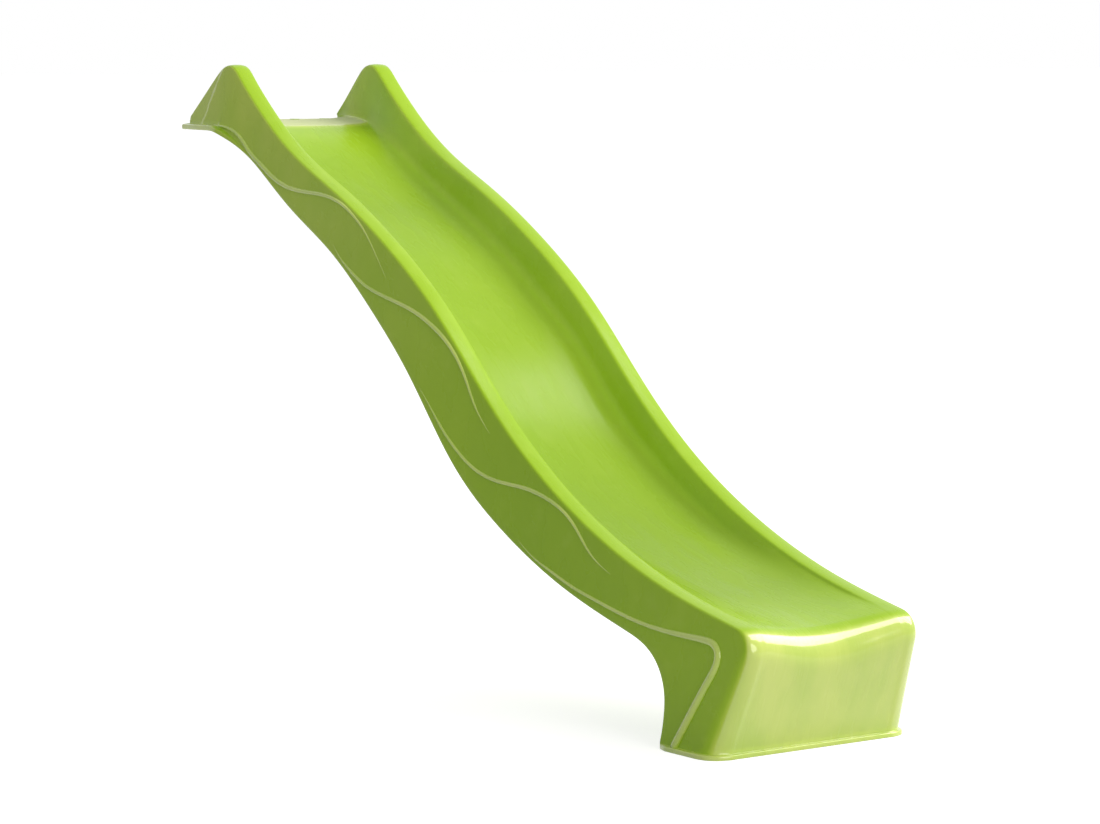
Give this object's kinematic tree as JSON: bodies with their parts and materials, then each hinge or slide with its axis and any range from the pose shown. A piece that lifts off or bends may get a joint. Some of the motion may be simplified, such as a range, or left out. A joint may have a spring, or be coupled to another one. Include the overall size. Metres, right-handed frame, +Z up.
{
  "type": "playground slide",
  "caption": "Wavy double-walled plastic slide with raised wings at its lip, a rounded box foot and raised ribs on its sides, screwed to a platform.",
  "frame": {"origin": "on the ground, midway between the back of the lip and the front of the foot, on the slide's centre plane", "axes": "+X runs downhill from the lip to the foot, +Y is across the slide, +Z is up"},
  "size_m": [2.503, 0.6282, 1.5825],
  "materials": {
    "shell_plastic": "glossy lime green moulded polyethylene",
    "underside_plastic": "satin lime green moulded polyethylene",
    "bush_plastic": "satin lime green moulded plastic",
    "screw_steel": "plain stainless steel"
  },
  "bodies": {
    "root": {"chute_shell": "shell_plastic", "underside_skin": "underside_plastic", "lip_bush_1": "bush_plastic", "lip_bush_2": "bush_plastic", "lip_bush_3": "bush_plastic", "lip_bush_4": "bush_plastic", "lip_screw_1": "screw_steel", "lip_screw_2": "screw_steel", "lip_screw_3": "screw_steel", "lip_screw_4": "screw_steel"}
  },
  "joints": []
}
